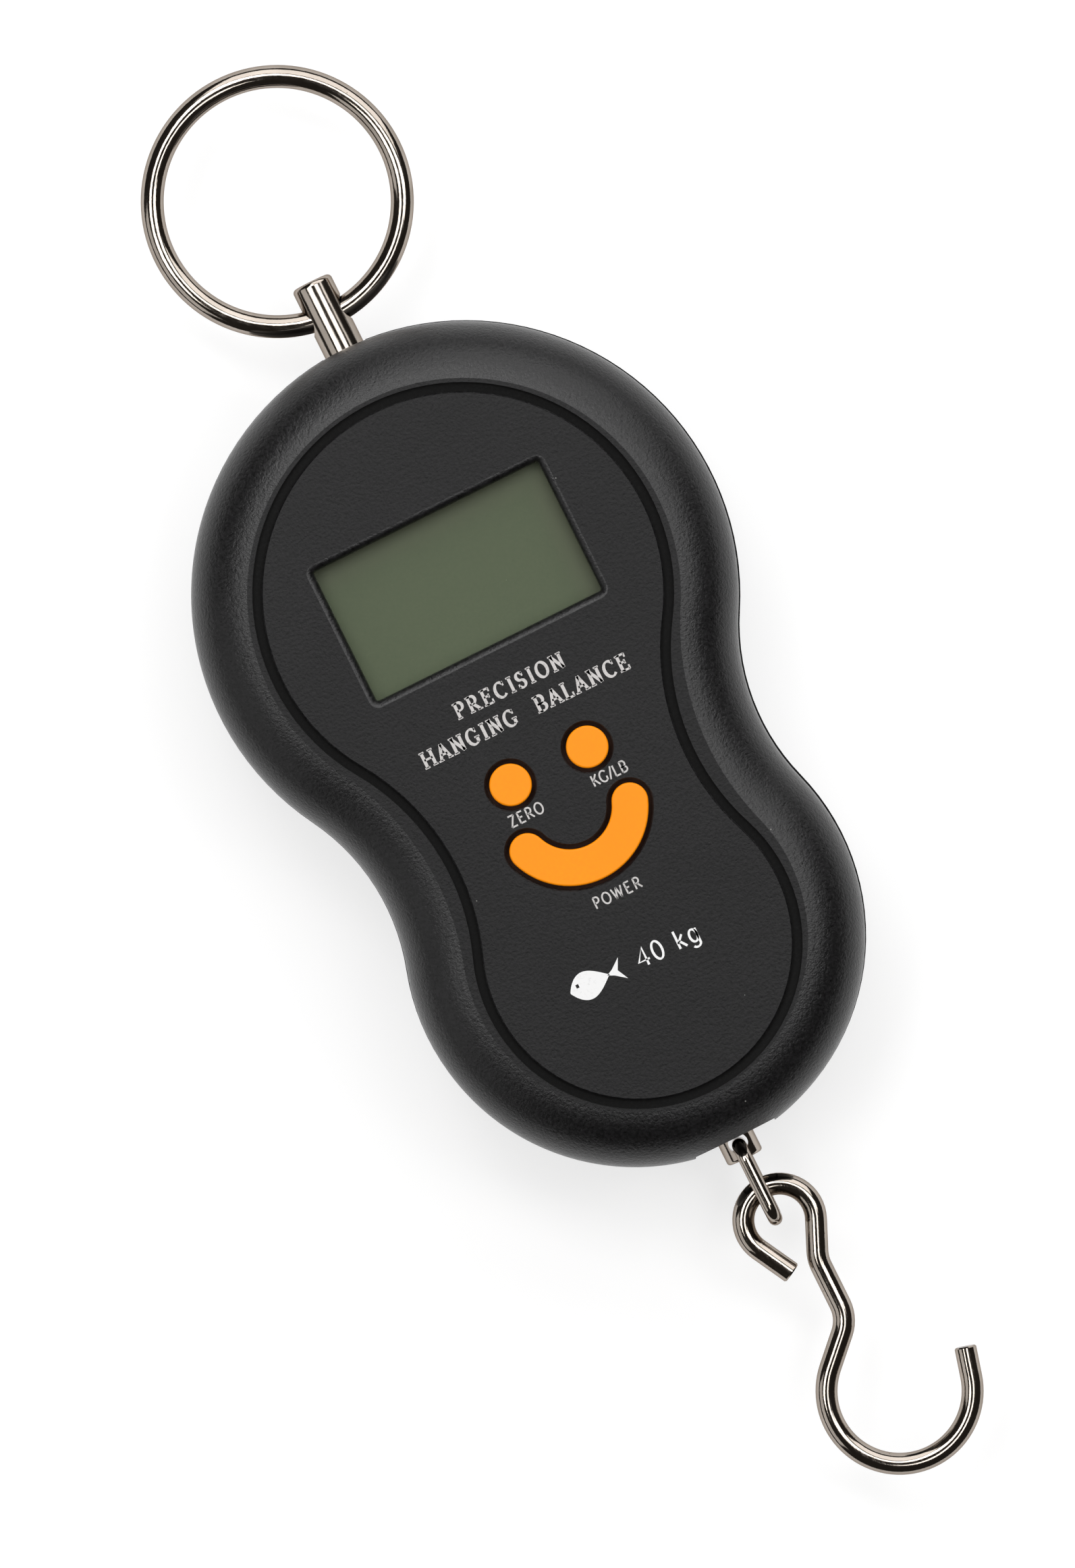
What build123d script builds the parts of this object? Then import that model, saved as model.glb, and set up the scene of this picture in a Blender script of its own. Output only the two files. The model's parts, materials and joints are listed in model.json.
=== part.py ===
"""Digital hanging scale for weighing fish.

The scale lies on its back. +Z points out of the display, +Y towards the carrying ring and
+X to the right of the display. The origin is the centre of the housing's flat back. Sizes
are in millimetres. The ring, both posts, the link and the hook share one centre plane.
"""
import os
from math import sqrt

from build123d import *

os.makedirs("parts", exist_ok=True)

# ---- housing outline: two round lobes joined by hollow waist arcs --------------------------
top_lobe = (17.5, 28.5)  # centre y, radius
bottom_lobe = (-22.0, 24.0)
waist_radius = 22.6
top_end = top_lobe[0] + top_lobe[1]
bottom_end = bottom_lobe[0] - bottom_lobe[1]

# ---- heights -------------------------------------------------------------------------------
thickness = 26.0
parting = 14.4  # plane where the two shells meet
back_wall = 2.2
front_wall = 2.0
wall = 2.0
pin_height = 12.0  # centre plane of the posts, ring, link and hook
wall_inside = thickness - front_wall

# ---- shells --------------------------------------------------------------------------------
front_inset = 0.2  # the front shell stands this far inside the rear one
front_edge_radius = 6.5
shoulder_z = 20.8  # above it the front shell's hollow steps in, under the rounded border
shoulder_inset = 4.0
crown_height = 0.9  # rise of the border from the wall to the panel
crown_width = 6.0
rear_edge_radius = 3.6
lip_height = 0.8
lip_inset = 1.3  # the rear shell's lip stands this far inside the outline
lip_gap = 0.1
panel_top_lobe = (17.7, 21.7)
panel_bottom_lobe = (-22.6, 17.0)
panel_waist_radius = 24.2
groove_width = 1.0
groove_depth = 0.7
groove_bevel = 0.12  # on the panel's edge
hole_bevel = 0.12  # round the button holes

# ---- display -------------------------------------------------------------------------------
display_y = 19.05
opening_size = (25.8, 14.8)
opening_corner = 0.3
opening_rounding = 0.75
window_size = (29.6, 19.2)
window_bottom, window_top = 23.2, 24.4
window_gap = 0.15
glass_size = (30.0, 20.0)
glass_bottom, glass_top = 20.7, 22.7
glass_bevel = 0.2
glass_gap = 0.1
bezel_size = (33.4, 23.4)
bezel_opening = (27.0, 16.6)
bezel_top = 23.1
strip_size = (26.0, 1.8)
strip_offset = 8.7

# ---- circuit board -------------------------------------------------------------------------
board_bottom, board_top = 18.8, 20.0
board_half_width = 16.8
board_ends = (-19.5, 31.7)
board_corner = 6.0
board_screw_places = [(-14.3, 2.5), (14.3, 2.5), (-12.5, -16.6), (12.5, -16.6)]
board_screw_radius = 0.8
board_screw_length = 4.0
board_head = (1.6, 1.0)  # radius, height
board_post_radius = 2.0
screw_hole_fit = 0.03

# ---- buttons -------------------------------------------------------------------------------
small_button_x = 4.4
small_button_y = -2.13
small_button_radius = 2.2
power_ends = (5.86, -9.05)  # centre of the right round end; the left one mirrors it
power_middle_y = -13.1
power_width = 3.8
button_gap = 0.42
button_top = thickness + 0.08
button_travel = 0.4
flange_bottom, flange_top = 22.9, wall_inside - 0.1
flange_width = 0.95
switch_size = 4.5
switch_top = 22.0
plunger_radius = 1.0
plunger_bottom = 21.2
plunger_gap = 0.06
button_edge_radius = 0.22

# ---- load cell, posts, ring, link and hook -------------------------------------------------
cell_bottom, cell_top = 15.6, 17.8
cell_half_length = 33.5
cell_half_width = 6.0
tab_thickness = 2.5
tab_bottom = 8.6
ear_half_width = 11.0
ear_width = 5.4
ear_screw = (8.0, 28.4)
ear_places = [(-ear_screw[0], ear_screw[1]), ear_screw]
ear_screw_radius = 1.0
ear_screw_length = 8.5
ear_head = (2.1, 1.1)  # radius, height
ear_boss_radius = 2.7
spigot_radius = 1.5
spigot_fit = 0.05
nut_fit = 0.02
nut_flats = 5.5
nut_height = 2.4
washer_radius = 3.2
washer_height = 0.5

ring_post_radius = 2.2
ring_post_end = 53.8
ring_eye_y = 49.95
ring_eye_radius = 1.45
ring_radius = 13.0
ring_wire = 2.4
ring_middle = (0.6, ring_eye_y + 12.88)  # the ring hangs a little askew in its eye

hook_post_radius = 2.0
hook_post_end = -47.9
hook_eye_y = -46.1
hook_eye_radius = 1.05
post_clearance = 0.25

link_wire = 1.5
link_ends = (-46.35, -54.8)
link_half_height = 3.4
link_corner = 1.6
link_room = 4.6  # half width of the notch that lets the link turn
notch_depth = 0.9

hook_wire = 2.3
cut_end = (-1.0, -60.8)
cut_leg = (4.27, 118.3)  # length, heading in degrees
hook_ring_radius = 3.78
hook_ring_turn = -232.1
neck_leg = 3.4
neck_radius = 4.0
neck_turn = 23.8
stem_length = 4.36
shoulder_turn = -45.0
shoulder_leg = 3.79
bowl_radius = 7.6
bowl_turn = 210.0
tip_leg = 3.2
cut_chamfer = 0.15

# ---- batteries and their bay ---------------------------------------------------------------
battery_radius = 5.15
battery_length = 44.5
battery_x = 5.4
battery_height = 7.25
nub_radius, nub_height = 1.9, 0.8
battery_edge_radius = 0.3
bay_half_width = 10.9
bay_half_length = 24.4
bay_top = 12.7
bay_wall = 1.8
bay_end_wall = 1.2
bay_ceiling = 1.0
plate_thickness = 0.4
spring_wire = 0.6

door_thickness = 1.5
door_half_width = 12.0
door_ends = (-28.3, 27.3)
door_gap = 0.15
door_recess = 1.6
tongue_x = 8.0
tongue_width = 3.0
tongue_reach = 1.2
tongue_seat = 1.4  # thickness of the back wall under the tongues
tongue_top = 2.3
latch_width = 6.0
latch_height = 3.4
slot_room = 0.5  # the slots for tongues and latch are this much wider than they are

# ---- case screws ---------------------------------------------------------------------------
case_screw_places = [(-19.6, 30.0), (19.6, 30.0), (-14.5, -33.0), (14.5, -33.0)]
case_boss_radius = 3.5
case_bore_radius = 2.5
case_seat = 8.0
case_head = (2.1, 1.6)  # radius, height
case_shank_radius = 1.1
case_screw_end = 21.5


def outline(top, bottom, joining_radius, inset=0.0):
    """Face inside an hour-glass outline; inset moves the whole edge inwards."""
    top_y, top_radius = top[0], top[1] - inset
    bottom_y, bottom_radius = bottom[0], bottom[1] - inset
    hollow = joining_radius + inset
    hollow_y = (top_y**2 - bottom_y**2 - (hollow + top_radius) ** 2 + (hollow + bottom_radius) ** 2)
    hollow_y /= 2 * (top_y - bottom_y)
    hollow_x = sqrt((hollow + top_radius) ** 2 - (hollow_y - top_y) ** 2)
    share_top = top_radius / (hollow + top_radius)
    share_bottom = bottom_radius / (hollow + bottom_radius)
    top_x, top_join = share_top * hollow_x, top_y + share_top * (hollow_y - top_y)
    bottom_x, bottom_join = share_bottom * hollow_x, bottom_y + share_bottom * (hollow_y - bottom_y)
    waist = hollow_x - hollow
    with BuildSketch(Plane.XY) as face:
        with BuildLine():
            ThreePointArc((-top_x, top_join), (0, top_y + top_radius), (top_x, top_join))
            ThreePointArc((top_x, top_join), (waist, hollow_y), (bottom_x, bottom_join))
            ThreePointArc((bottom_x, bottom_join), (0, bottom_y - bottom_radius), (-bottom_x, bottom_join))
            ThreePointArc((-bottom_x, bottom_join), (-waist, hollow_y), (-top_x, top_join))
        make_face()
    return face.sketch


def housing(inset=0.0):
    return outline(top_lobe, bottom_lobe, waist_radius, inset)


def panel(inset=0.0):
    return outline(panel_top_lobe, panel_bottom_lobe, panel_waist_radius, inset)


def power_slot(width):
    """Face of the curved power button, or of its hole."""
    end_x, end_y = power_ends
    with BuildSketch(Plane.XY) as face:
        with BuildLine(mode=Mode.PRIVATE) as middle:
            ThreePointArc((-end_x, end_y), (0, power_middle_y), (end_x, end_y))
        SlotArc(middle.edges()[0], width)
    return face.sketch


def cross_slot(length, width):
    """Face of a cross-headed screw's recess."""
    with BuildSketch() as face:
        Rectangle(length, width)
        Rectangle(width, length)
    return face.sketch


def pin_plane(y):
    """Plane across the posts' common axis, looking along +Y."""
    return Plane(origin=(0, y, pin_height), x_dir=(1, 0, 0), z_dir=(0, 1, 0))


def post_notch(radius):
    """Round hole for a post, open on the side that faces the front shell."""
    with BuildSketch() as face:
        Circle(radius)
        with Locations((0, -thickness / 10)):
            Rectangle(2 * radius, thickness / 5)
    return face.sketch


def save(piece, label):
    piece.part.label = label
    export_step(piece.part, f"parts/{label}.step")


# ============================================================================================
# Rear shell: the deep half, with the battery bay, the screw bosses and the post guides
# ============================================================================================
guide_size = (13.0, 3.4)
guide_offset = wall + 1.3
latch_slot = (door_ends[1] - 0.7, 2.0)  # middle y, length
scoop_middle = (door_ends[1] + 0.4, -3.4)  # y, z
scoop_radius = 5.0
scoop_half_width = 6.5
tail_x = 9.2
tail_slot = (2.2, 0.9)
pilot_depth = 8.0

with BuildPart() as rear_shell:
    with BuildSketch(Plane.XY):
        add(housing())
    extrude(amount=parting)
    fillet(rear_shell.edges().group_by(Axis.Z)[0], rear_edge_radius)
    with BuildSketch(Plane.XY.offset(parting)):
        add(housing(lip_inset))
    extrude(amount=lip_height)
    with BuildSketch(Plane.XY.offset(back_wall)):
        add(housing(wall))
    extrude(amount=thickness, mode=Mode.SUBTRACT)
    # bay walls and ceiling
    with BuildSketch(Plane.XY.offset(back_wall)):
        Rectangle(2 * (bay_half_width + bay_wall), 2 * (bay_half_length + bay_end_wall))
    extrude(amount=bay_top + bay_ceiling - back_wall)
    # bosses for the case screws, and for the load cell's screws
    with BuildSketch(Plane.XY.offset(back_wall)):
        with Locations(*case_screw_places):
            Circle(case_boss_radius)
    extrude(amount=parting - back_wall)
    with BuildSketch(Plane.XY.offset(back_wall)):
        with Locations(*ear_places):
            Circle(ear_boss_radius)
    extrude(amount=cell_bottom - back_wall)
    # guides that back the end walls where the posts come out
    with BuildSketch(Plane.XY.offset(back_wall)):
        with Locations((0, top_end - guide_offset), (0, bottom_end + guide_offset)):
            Rectangle(*guide_size)
    extrude(amount=parting - back_wall)
    # bay mouth and bay interior
    with BuildSketch(Plane.XY):
        Rectangle(2 * bay_half_width, 2 * bay_half_length)
    extrude(amount=bay_top, mode=Mode.SUBTRACT)
    # recess that the door closes
    with BuildSketch(Plane.XY):
        with Locations((0, sum(door_ends) / 2)):
            Rectangle(2 * (door_half_width + door_gap), door_ends[1] - door_ends[0] + 2 * door_gap)
    extrude(amount=door_recess, mode=Mode.SUBTRACT)
    # slots for the door's two tongues and for its latch finger
    slot_end = -bay_half_length - bay_end_wall
    slot_start = door_ends[0] - door_gap
    with BuildSketch(Plane.XY):
        with Locations(*[(x, (slot_start + slot_end) / 2) for x in (-tongue_x, tongue_x)]):
            Rectangle(tongue_width + slot_room, slot_end - slot_start)
        with Locations((0, latch_slot[0])):
            Rectangle(latch_width + slot_room, latch_slot[1])
    extrude(amount=back_wall + slot_room, mode=Mode.SUBTRACT)
    # pockets that thin the back wall where the tongues reach over it
    with BuildSketch(Plane.XY.offset(tongue_seat)):
        with Locations((-tongue_x, slot_start), (tongue_x, slot_start)):
            Rectangle(tongue_width + slot_room, 2 * (tongue_reach + 0.35))
    extrude(amount=back_wall, mode=Mode.SUBTRACT)
    # fingernail scoop beside the door's latch end
    with BuildSketch(Plane.YZ):
        with Locations(scoop_middle):
            Circle(scoop_radius)
    extrude(amount=scoop_half_width, both=True, mode=Mode.SUBTRACT)
    # slots in the bay's ceiling for the two solder tails
    with BuildSketch(Plane.XY.offset(bay_top)):
        tail_slot_y = bay_half_length - tail_slot[1] / 2
        with Locations((-tail_x, tail_slot_y), (tail_x, tail_slot_y)):
            Rectangle(*tail_slot)
    extrude(amount=bay_ceiling, mode=Mode.SUBTRACT)
    # stepped holes for the case screws
    with Locations(*[(x, y, 0) for x, y in case_screw_places]):
        Cylinder(case_bore_radius, 2 * case_seat, mode=Mode.SUBTRACT)
        Cylinder(case_shank_radius + 0.15, 2 * (parting + 1), mode=Mode.SUBTRACT)
    # pilot holes for the load cell's screws
    with BuildSketch(Plane.XY.offset(cell_bottom)):
        with Locations(*ear_places):
            Circle(ear_screw_radius + screw_hole_fit)
    extrude(amount=-pilot_depth, mode=Mode.SUBTRACT)
    # notches for the posts, open towards the front shell
    for start, radius in ((top_end - 8, ring_post_radius), (bottom_end - 2, hook_post_radius)):
        with BuildSketch(pin_plane(start)):
            add(post_notch(radius + post_clearance))
        extrude(amount=10, mode=Mode.SUBTRACT)
    # notch in the lower edge, where the link turns about the lower post
    with BuildSketch(Plane.XY):
        with Locations((0, bottom_end)):
            Rectangle(2 * link_room, 2 * notch_depth)
    extrude(amount=thickness, mode=Mode.SUBTRACT)
save(rear_shell, "rear_shell")

# ============================================================================================
# Front shell: crowned border, grooved panel, display opening and button holes
# ============================================================================================
rim_z = thickness - crown_height
front_boss_radius = 2.8

with BuildPart() as front_shell:
    with BuildSketch(Plane.XY.offset(parting)):
        add(housing(front_inset))
    extrude(amount=rim_z - parting)
    with BuildSketch(Plane.XY.offset(rim_z)):
        add(housing(front_inset))
    with BuildSketch(Plane.XY.offset(thickness)):
        add(housing(front_inset + crown_width))
    loft(ruled=True)
    fillet(front_shell.edges().filter_by_position(Axis.Z, rim_z - 0.01, rim_z + 0.01), front_edge_radius)
    # hollow inside
    with BuildSketch(Plane.XY.offset(parting)):
        add(housing(wall + front_inset))
    extrude(amount=shoulder_z - parting, mode=Mode.SUBTRACT)
    with BuildSketch(Plane.XY.offset(shoulder_z)):
        add(housing(shoulder_inset))
    extrude(amount=wall_inside - shoulder_z, mode=Mode.SUBTRACT)
    # rebate that takes the rear shell's lip
    with BuildSketch(Plane.XY.offset(parting)):
        add(housing(lip_inset - lip_gap))
    extrude(amount=lip_height + lip_gap, mode=Mode.SUBTRACT)
    # the rest of the notch in the lower edge
    with BuildSketch(Plane.XY.offset(parting)):
        with Locations((0, bottom_end)):
            Rectangle(2 * link_room, 2 * notch_depth)
    extrude(amount=thickness - parting, mode=Mode.SUBTRACT)
    # bosses for the case screws, and posts for the circuit board
    with BuildSketch(Plane.XY.offset(parting)):
        with Locations(*case_screw_places):
            Circle(front_boss_radius)
    extrude(amount=wall_inside - parting)
    with BuildSketch(Plane.XY.offset(board_top)):
        with Locations(*board_screw_places):
            Circle(board_post_radius)
    extrude(amount=wall_inside - board_top)
    with BuildSketch(Plane.XY.offset(parting)):
        with Locations(*case_screw_places):
            Circle(case_shank_radius + screw_hole_fit)
    extrude(amount=case_screw_end - parting + 0.5, mode=Mode.SUBTRACT)
    with BuildSketch(Plane.XY.offset(board_top)):
        with Locations(*board_screw_places):
            Circle(board_screw_radius + screw_hole_fit)
    extrude(amount=board_screw_length - 0.5, mode=Mode.SUBTRACT)
    # groove round the panel
    with BuildSketch(Plane.XY.offset(thickness)):
        add(panel())
        add(panel(groove_width), mode=Mode.SUBTRACT)
    extrude(amount=-groove_depth, mode=Mode.SUBTRACT)
    flat_faces = front_shell.faces().filter_by_position(Axis.Z, thickness - 0.01, thickness + 0.01)
    middle = flat_faces.sort_by(SortBy.AREA)[-1]
    chamfer(middle.outer_wire().edges(), groove_bevel)
    # display opening, with a pocket behind it for the clear window
    with BuildSketch(Plane.XY.offset(wall_inside)):
        with Locations((0, display_y)):
            Rectangle(window_size[0] + 2 * window_gap, window_size[1] + 2 * window_gap)
    extrude(amount=window_top - wall_inside, mode=Mode.SUBTRACT)
    with BuildSketch(Plane.XY.offset(wall_inside)):
        with Locations((0, display_y)):
            RectangleRounded(*opening_size, opening_corner)
    extrude(amount=front_wall, mode=Mode.SUBTRACT)
    face_edges = front_shell.edges().filter_by_position(Axis.Z, thickness - 0.01, thickness + 0.01)
    half_length, half_width = opening_size[0] / 2 + 0.01, opening_size[1] / 2 + 0.01
    rim_edges = face_edges.filter_by_position(Axis.X, -half_length, half_length)
    fillet(rim_edges.filter_by_position(Axis.Y, display_y - half_width, display_y + half_width), opening_rounding)
    # button holes
    with BuildSketch(Plane.XY.offset(wall_inside)):
        with Locations((-small_button_x, small_button_y), (small_button_x, small_button_y)):
            Circle(small_button_radius + button_gap)
        add(power_slot(power_width + 2 * button_gap))
    extrude(amount=front_wall, mode=Mode.SUBTRACT)
    face_edges = front_shell.edges().filter_by_position(Axis.Z, thickness - 0.01, thickness + 0.01)
    hole_edges = face_edges.filter_by_position(Axis.Y, -16, 1).filter_by_position(Axis.X, -10, 10)
    chamfer(hole_edges, hole_bevel)
save(front_shell, "front_shell")

# ============================================================================================
# Display: clear window, bezel, glass and the rubber strips that feed the glass
# ============================================================================================
with BuildPart() as display_window:
    with BuildSketch(Plane.XY.offset(window_bottom)):
        with Locations((0, display_y)):
            Rectangle(*window_size)
    extrude(amount=window_top - window_bottom)
save(display_window, "display_window")

with BuildPart() as lcd_panel:
    with BuildSketch(Plane.XY.offset(glass_bottom)):
        with Locations((0, display_y)):
            Rectangle(*glass_size)
    extrude(amount=glass_top - glass_bottom)
    chamfer(lcd_panel.edges().group_by(Axis.Z)[-1], glass_bevel)
save(lcd_panel, "lcd_panel")

with BuildPart() as lcd_bezel:
    with BuildSketch(Plane.XY.offset(board_top)):
        with Locations((0, display_y)):
            Rectangle(*bezel_size)
    extrude(amount=bezel_top - board_top)
    with BuildSketch(Plane.XY.offset(board_top)):
        with Locations((0, display_y)):
            Rectangle(glass_size[0] + 2 * glass_gap, glass_size[1] + 2 * glass_gap)
    extrude(amount=glass_top + glass_gap / 2 - board_top, mode=Mode.SUBTRACT)
    with BuildSketch(Plane.XY.offset(board_top)):
        with Locations((0, display_y)):
            Rectangle(*bezel_opening)
    extrude(amount=thickness - board_top, mode=Mode.SUBTRACT)
save(lcd_bezel, "lcd_bezel")

with BuildPart() as contact_strips:
    with BuildSketch(Plane.XY.offset(board_top)):
        with Locations((0, display_y - strip_offset), (0, display_y + strip_offset)):
            Rectangle(*strip_size)
    extrude(amount=glass_bottom - board_top)
save(contact_strips, "contact_strips")

# ============================================================================================
# Circuit board with its screws and small parts
# ============================================================================================
with BuildPart() as circuit_board:
    with BuildSketch(Plane.XY.offset(board_bottom)):
        with Locations((0, sum(board_ends) / 2)):
            RectangleRounded(2 * board_half_width, board_ends[1] - board_ends[0], board_corner)
        with Locations(*board_screw_places):
            Circle(board_screw_radius + 0.1, mode=Mode.SUBTRACT)
    extrude(amount=board_top - board_bottom)
save(circuit_board, "circuit_board")

with BuildPart() as board_screws:
    head_plane = Plane.XY.offset(board_bottom - board_head[1])
    with BuildSketch(head_plane):
        with Locations(*board_screw_places):
            Circle(board_head[0])
    extrude(amount=board_head[1])
    fillet(board_screws.edges().group_by(Axis.Z)[0], 0.4)
    with BuildSketch(head_plane):
        with Locations(*board_screw_places):
            add(cross_slot(1.8, 0.4))
    extrude(amount=0.6, mode=Mode.SUBTRACT)
    with BuildSketch(Plane.XY.offset(board_bottom)):
        with Locations(*board_screw_places):
            Circle(board_screw_radius)
    extrude(amount=board_screw_length)
save(board_screws, "board_screws")

controller_place = (-9.0, 4.2)
controller = (2.6, 0.9, 0.7)  # radius, height, edge radius
amplifier_place = (9.4, 4.0)
amplifier_size = (4.9, 3.9, 1.5)
crystal_place = (0, 4.6)
crystal_size = (7.0, 2.2, 2.0)
chip_size = (1.6, 0.8, 0.6)
chip_places = [(side * x, y) for side in (-1, 1) for x, y in ((11.5, -3.0), (11.5, -6.0), (6.0, -16.5))]

with BuildPart() as board_components:
    # epoxy drop over the controller
    with BuildSketch(Plane.XY.offset(board_top)):
        with Locations(controller_place):
            Circle(controller[0])
    extrude(amount=controller[1])
    fillet(board_components.edges().group_by(Axis.Z)[-1], controller[2])
    # amplifier chip, crystal can and two rows of small chips
    with BuildSketch(Plane.XY.offset(board_top)):
        with Locations(amplifier_place):
            Rectangle(*amplifier_size[:2])
    extrude(amount=amplifier_size[2])
    with BuildSketch(Plane.XY.offset(board_top)):
        with Locations(crystal_place):
            SlotOverall(*crystal_size[:2])
    extrude(amount=crystal_size[2])
    with BuildSketch(Plane.XY.offset(board_top)):
        with Locations(*chip_places):
            Rectangle(*chip_size[:2])
    extrude(amount=chip_size[2])
save(board_components, "board_components")

# ============================================================================================
# Push switches: fixed bodies, and plungers that travel with the buttons
# ============================================================================================
switch_places = {
    "tare": (-small_button_x, small_button_y),
    "unit": (small_button_x, small_button_y),
    "power": (0.0, power_middle_y),
}

with BuildPart() as switch_bodies:
    with BuildSketch(Plane.XY.offset(board_top)):
        with Locations(*switch_places.values()):
            RectangleRounded(switch_size, switch_size, 0.4)
    extrude(amount=switch_top - board_top)
    with BuildSketch(Plane.XY.offset(plunger_bottom - button_travel - 0.2)):
        with Locations(*switch_places.values()):
            Circle(plunger_radius + plunger_gap)
    extrude(amount=switch_top - board_top, mode=Mode.SUBTRACT)
save(switch_bodies, "switch_bodies")

for name, place in switch_places.items():
    with BuildPart() as plunger:
        with BuildSketch(Plane.XY.offset(plunger_bottom)):
            with Locations(place):
                Circle(plunger_radius)
        extrude(amount=flange_bottom - plunger_bottom)
    save(plunger, f"{name}_plunger")

# ============================================================================================
# Buttons: cap through the panel, flange behind it
# ============================================================================================
for name in ("tare", "unit"):
    with BuildPart() as button:
        with BuildSketch(Plane.XY.offset(flange_bottom)):
            with Locations(switch_places[name]):
                Circle(small_button_radius + flange_width)
        extrude(amount=flange_top - flange_bottom)
        with BuildSketch(Plane.XY.offset(flange_top)):
            with Locations(switch_places[name]):
                Circle(small_button_radius)
        extrude(amount=button_top - flange_top)
        fillet(button.edges().group_by(Axis.Z)[-1], button_edge_radius)
    save(button, f"{name}_button")

with BuildPart() as power_button:
    with BuildSketch(Plane.XY.offset(flange_bottom)):
        add(power_slot(power_width + 2 * flange_width))
    extrude(amount=flange_top - flange_bottom)
    with BuildSketch(Plane.XY.offset(flange_top)):
        add(power_slot(power_width))
    extrude(amount=button_top - flange_top)
    fillet(power_button.edges().group_by(Axis.Z)[-1], button_edge_radius)
save(power_button, "power_button")

# ============================================================================================
# Load cell: a steel strip bent down at both ends, with gauge holes, screws, gauges and wires
# ============================================================================================
bend_radius = 2.2
gauge_hole_radius = 3.4
gauge_hole_y = 5.5
gauge_slot_width = 2.4

with BuildPart() as load_cell:
    with BuildSketch(Plane.YZ):
        with BuildLine():
            Polyline(
                (-cell_half_length, tab_bottom),
                (-cell_half_length, cell_top),
                (cell_half_length, cell_top),
                (cell_half_length, tab_bottom),
                (cell_half_length - tab_thickness, tab_bottom),
                (cell_half_length - tab_thickness, cell_bottom),
                (tab_thickness - cell_half_length, cell_bottom),
                (tab_thickness - cell_half_length, tab_bottom),
                close=True,
            )
        make_face()
    extrude(amount=cell_half_width, both=True)
    bends = load_cell.edges().filter_by(Axis.X).group_by(Axis.Z)[-1]
    fillet(bends, bend_radius)
    with BuildSketch(Plane.XY.offset(cell_bottom)):
        with Locations((0, ear_screw[1] - 0.4)):
            RectangleRounded(2 * ear_half_width, ear_width, 2.0)
    extrude(amount=cell_top - cell_bottom)
    # two gauge holes joined by a slot
    with BuildSketch(Plane.XY.offset(cell_bottom)):
        with Locations((0, -gauge_hole_y), (0, gauge_hole_y)):
            Circle(gauge_hole_radius)
        Rectangle(gauge_slot_width, 2 * gauge_hole_y)
    extrude(amount=cell_top - cell_bottom, mode=Mode.SUBTRACT)
    # countersunk holes in the ears
    with Locations(*[(x, y, cell_top) for x, y in ear_places]):
        CounterSinkHole(ear_screw_radius + 0.3, ear_head[0] + 0.15, counter_sink_angle=90)
    # holes in the bent ends for the posts' spigots
    with BuildSketch(pin_plane(-cell_half_length - 1)):
        Circle(spigot_radius + spigot_fit)
    extrude(amount=2 * cell_half_length + 2, mode=Mode.SUBTRACT)
save(load_cell, "load_cell")

with BuildPart() as load_cell_screws:
    hanging = (Align.CENTER, Align.CENTER, Align.MAX)
    with Locations(*[(x, y, cell_top) for x, y in ear_places]):
        Cone(ear_screw_radius, ear_head[0], ear_head[1], align=hanging)
        Cylinder(ear_screw_radius, ear_screw_length, align=hanging)
    with BuildSketch(Plane.XY.offset(cell_top)):
        with Locations(*ear_places):
            add(cross_slot(2.4, 0.5))
    extrude(amount=-0.7, mode=Mode.SUBTRACT)
save(load_cell_screws, "load_cell_screws")

gauge_x = 4.7
gauge_thickness = 0.12
gauge_size = (2.4, 6.0)
with BuildPart() as strain_gauges:
    with BuildSketch(Plane.XY.offset(cell_top)):
        with Locations((-gauge_x, 0), (gauge_x, 0)):
            RectangleRounded(*gauge_size, 0.3)
    extrude(amount=gauge_thickness)
save(strain_gauges, "strain_gauges")

gauge_wire = 0.5
gauge_wire_z = cell_top + gauge_thickness + gauge_wire / 2
gauge_wire_ends = (-2.0, -17.0)
gauge_wire_pitch = 0.8
wire_lines = [side * gauge_x + step * gauge_wire_pitch / 2 for side in (-1, 1) for step in (-1, 1)]
with BuildPart() as gauge_wires:
    for wire_x in wire_lines:
        with BuildLine(Plane.YZ.offset(wire_x)):
            route = FilletPolyline(
                (gauge_wire_ends[0], gauge_wire_z),
                (gauge_wire_ends[1], gauge_wire_z),
                (gauge_wire_ends[1], board_bottom),
                radius=gauge_wire,
            )
        with BuildSketch(Plane(origin=route @ 0, z_dir=route % 0)):
            Circle(gauge_wire / 2)
        sweep()
save(gauge_wires, "gauge_wires")

# ============================================================================================
# Ring post, its nut, and the carrying ring
# ============================================================================================
spigot_thread = 0.9  # length of spigot that shows beyond a nut
spigot_chamfer = 0.3
with BuildPart() as ring_post:
    with BuildSketch(pin_plane(cell_half_length)):
        Circle(ring_post_radius)
    extrude(amount=ring_post_end - cell_half_length)
    fillet(ring_post.edges().group_by(Axis.Y)[-1], 0.5)
    with BuildSketch(pin_plane(cell_half_length)):
        Circle(spigot_radius)
    extrude(amount=-(tab_thickness + nut_height + spigot_thread))
    chamfer(ring_post.edges().group_by(Axis.Y)[0], spigot_chamfer)
    with BuildSketch(Plane.YZ):
        with Locations((ring_eye_y, pin_height)):
            Circle(ring_eye_radius)
    extrude(amount=2 * ring_post_radius, both=True, mode=Mode.SUBTRACT)
save(ring_post, "ring_post")

with BuildPart() as ring_post_nut:
    with BuildSketch(pin_plane(cell_half_length - tab_thickness)):
        RegularPolygon(nut_flats / 2, 6, major_radius=False)
        Circle(spigot_radius + nut_fit, mode=Mode.SUBTRACT)
    extrude(amount=-nut_height)
save(ring_post_nut, "ring_post_nut")

with BuildPart() as carry_ring:
    with Locations((*ring_middle, pin_height)):
        Torus(ring_radius, ring_wire / 2)
save(carry_ring, "carry_ring")

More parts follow.
